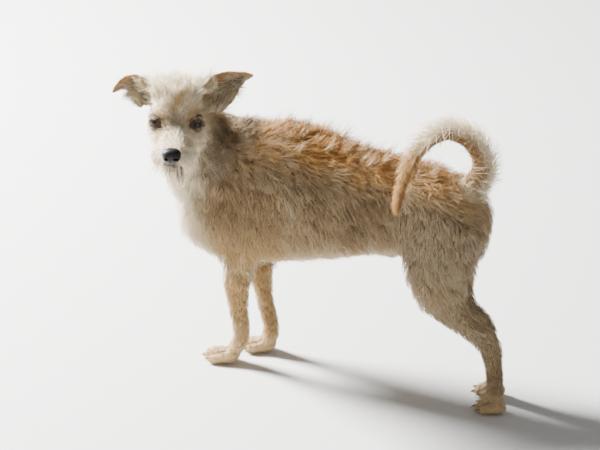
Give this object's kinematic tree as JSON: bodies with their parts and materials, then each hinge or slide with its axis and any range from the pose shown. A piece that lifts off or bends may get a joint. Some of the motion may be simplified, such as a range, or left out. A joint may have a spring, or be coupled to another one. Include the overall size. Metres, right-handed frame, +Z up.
{
  "type": "dog",
  "caption": "Standing wire-coated terrier cross, head turned to its left, ears folded outward, feathered tail curled over, thin collar with a lead ring.",
  "frame": {"origin": "centre of the bounding box at floor level, under the chest", "axes": "+Z up, the dog's body faces -Y, its left side is +X"},
  "size_m": [0.2212, 0.5578, 0.4446],
  "materials": {
    "face_coat": "matt, short pale hair",
    "body_coat": "matt, rough wheaten hair",
    "leg_coat": "matt, short fawn hair",
    "tail_coat": "matt, feathered pale hair",
    "ear_leather": "matt, velvety",
    "nose_leather": "moist, pebbled",
    "claw_horn": "smooth horn",
    "eye": "wet gloss",
    "collar_webbing": "matt woven",
    "ring_steel": "dark satin"
  },
  "bodies": {
    "root": {"head": "face_coat", "muzzle": "face_coat", "lower_jaw": "face_coat", "neck": "body_coat", "chest": "body_coat", "loin": "body_coat", "rump": "body_coat", "tail_base": "tail_coat", "tail_arch": "tail_coat", "tail_end": "tail_coat", "shoulder_left": "leg_coat", "shoulder_right": "leg_coat", "foreleg_left": "leg_coat", "foreleg_right": "leg_coat", "forepaw_left": "leg_coat", "forepaw_right": "leg_coat", "thigh_left": "leg_coat", "thigh_right": "leg_coat", "shank_left": "leg_coat", "shank_right": "leg_coat", "hock_left": "leg_coat", "hock_right": "leg_coat", "hindpaw_left": "leg_coat", "hindpaw_right": "leg_coat", "ear_left": "ear_leather", "ear_right": "ear_leather", "nose": "nose_leather", "eye_left": "eye", "eye_right": "eye", "collar": "collar_webbing", "collar_ring": "ring_steel"}
  },
  "joints": []
}
